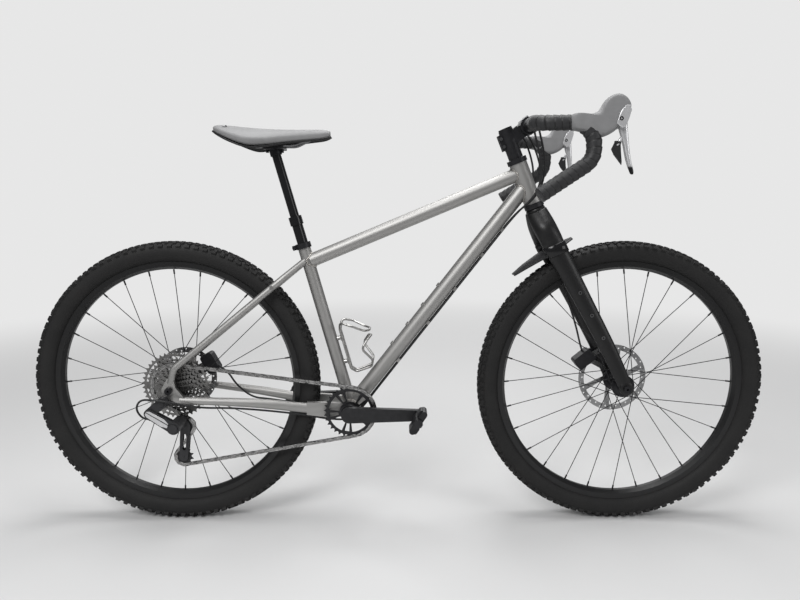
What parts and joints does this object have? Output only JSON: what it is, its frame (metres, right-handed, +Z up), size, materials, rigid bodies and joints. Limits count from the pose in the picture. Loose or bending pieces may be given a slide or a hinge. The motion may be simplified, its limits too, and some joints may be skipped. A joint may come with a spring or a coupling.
{
  "type": "gravel bicycle",
  "caption": "Gravel bicycle with a bare metal frame, black fork, flared drop bar, sliding seatpost, disc brakes and a single-ring chain drive.",
  "frame": {"origin": "on the ground, midway between the two axles", "axes": "+X forward, +Y to the rider's left, +Z up"},
  "size_m": [1.882, 0.5434, 1.0561],
  "materials": {
    "titanium": "satin bare titanium",
    "black_alloy": "black anodised",
    "black_carbon": "matte black carbon",
    "tyre": "black tread rubber",
    "tape": "matte black wrap",
    "hood": "grey rubber",
    "bare_alloy": "satin",
    "steel": "bare steel",
    "cover": "padded synthetic cover",
    "plastic": "moulded black",
    "hose": "black jacket"
  },
  "bodies": {
    "frame": {"head_tube": "titanium", "top_tube": "titanium", "down_tube": "titanium", "seat_tube": "titanium", "bottom_bracket_shell": "titanium", "chainstays": "titanium", "seatstays": "titanium", "dropouts": "titanium", "frame_bosses": "titanium", "seat_collar": "black_alloy", "headset_cups": "black_alloy", "bottom_bracket_cups": "black_alloy", "rear_thru_axle": "black_alloy", "rear_brake_caliper": "black_alloy", "bottle_cage": "titanium", "frame_hoses": "hose", "dropper_outer_tube": "black_alloy", "derailleur_body": "plastic", "chain": "steel"},
    "saddle": {"dropper_stanchion": "black_alloy", "saddle_clamp": "black_alloy", "saddle_rails": "steel", "saddle_shell": "plastic", "saddle_cover": "cover"},
    "fork": {"fork": "black_carbon", "fork_fender": "plastic", "headset_spacers": "black_alloy", "stem": "black_alloy", "stem_faceplate": "black_alloy", "front_fasteners": "steel", "handlebar": "black_alloy", "bar_tape": "tape", "lever_hoods": "hood", "front_thru_axle": "black_alloy", "front_brake_caliper": "black_alloy", "front_brake_hose": "hose", "steering_hoses": "hose"},
    "right_brake_lever": {"right_brake_lever": "bare_alloy"},
    "left_brake_lever": {"left_brake_lever": "bare_alloy"},
    "right_shift_paddle": {"right_shift_paddle": "plastic"},
    "left_shift_paddle": {"left_shift_paddle": "plastic"},
    "front_wheel": {"front_tyre": "tyre", "front_rim": "black_carbon", "front_spokes": "black_alloy", "front_hub": "black_alloy", "front_rotor": "steel"},
    "rear_wheel": {"rear_tyre": "tyre", "rear_rim": "black_carbon", "rear_spokes": "black_alloy", "rear_hub": "black_alloy", "rear_rotor": "steel"},
    "cassette": {"cassette": "steel"},
    "crankset": {"crank_arm_right": "black_alloy", "crank_arm_left": "black_alloy", "chainring": "black_alloy"},
    "right_pedal": {"right_pedal": "black_alloy"},
    "left_pedal": {"left_pedal": "black_alloy"},
    "derailleur_cage": {"derailleur_cage": "black_alloy"},
    "guide_pulley": {"guide_pulley": "plastic"},
    "tension_pulley": {"tension_pulley": "plastic"}
  },
  "joints": [
    {"name": "steering", "type": "hinge", "parent": "frame", "child": "fork", "pos_m": [0.53512, 0, 0.35231], "axis": [-0.3827, 0, 0.9239], "range_deg": [-65, 65], "deforming": ["steering_hoses"]},
    {"name": "front_wheel_spin", "type": "hinge", "parent": "fork", "child": "front_wheel", "pos_m": [0.573, 0, 0.368], "axis": [0, 1, 0], "continuous": true},
    {"name": "rear_wheel_spin", "type": "hinge", "parent": "frame", "child": "rear_wheel", "pos_m": [-0.573, 0, 0.368], "axis": [0, 1, 0], "continuous": true},
    {"name": "crank_spin", "type": "hinge", "parent": "frame", "child": "crankset", "pos_m": [-0.125, 0, 0.303], "axis": [0, 1, 0], "continuous": true, "deforming": ["chain"]},
    {"name": "cassette_spin", "type": "hinge", "parent": "frame", "child": "cassette", "pos_m": [-0.573, 0, 0.368], "axis": [0, 1, 0], "continuous": true},
    {"name": "right_pedal_spin", "type": "hinge", "parent": "crankset", "child": "right_pedal", "pos_m": [0.047, 0, 0.303], "axis": [0, 1, 0], "continuous": true},
    {"name": "left_pedal_spin", "type": "hinge", "parent": "crankset", "child": "left_pedal", "pos_m": [-0.297, 0, 0.303], "axis": [0, 1, 0], "continuous": true},
    {"name": "dropper_slide", "type": "slide", "parent": "frame", "child": "saddle", "axis": [-0.2672, 0, 0.9636], "range_m": [-0.15, 0]},
    {"name": "right_brake_pull", "type": "hinge", "parent": "fork", "child": "right_brake_lever", "pos_m": [0.46709, -0.222, 1.00518], "axis": [0, 1, 0], "range_deg": [0, 16], "stiffness_Nm_per_rad": 1.5},
    {"name": "left_brake_pull", "type": "hinge", "parent": "fork", "child": "left_brake_lever", "pos_m": [0.46709, 0.222, 1.00518], "axis": [0, 1, 0], "range_deg": [0, 16], "stiffness_Nm_per_rad": 1.5},
    {"name": "right_shift_push", "type": "hinge", "parent": "right_brake_lever", "child": "right_shift_paddle", "pos_m": [0.46709, -0.2255, 0.95718], "axis": [1, 0, 0], "range_deg": [0, 15], "stiffness_Nm_per_rad": 0.2},
    {"name": "left_shift_push", "type": "hinge", "parent": "left_brake_lever", "child": "left_shift_paddle", "pos_m": [0.46709, 0.2255, 0.95718], "axis": [-1, 0, 0], "range_deg": [0, 15], "stiffness_Nm_per_rad": 0.2},
    {"name": "cage_swing", "type": "hinge", "parent": "frame", "child": "derailleur_cage", "pos_m": [-0.558, 0, 0.279], "axis": [0, 1, 0], "range_deg": [-35, 25], "stiffness_Nm_per_rad": 1, "deforming": ["chain"]},
    {"name": "guide_pulley_spin", "type": "hinge", "parent": "derailleur_cage", "child": "guide_pulley", "pos_m": [-0.549, 0, 0.262], "axis": [0, 1, 0], "continuous": true},
    {"name": "tension_pulley_spin", "type": "hinge", "parent": "derailleur_cage", "child": "tension_pulley", "pos_m": [-0.55712, 0, 0.1804], "axis": [0, 1, 0], "continuous": true}
  ],
  "couplings": [
    {"joint": "cassette_spin", "follows": "crank_spin", "ratio": 1.1429},
    {"joint": "guide_pulley_spin", "follows": "crank_spin", "ratio": -2.9091},
    {"joint": "tension_pulley_spin", "follows": "crank_spin", "ratio": 2.9091}
  ]
}
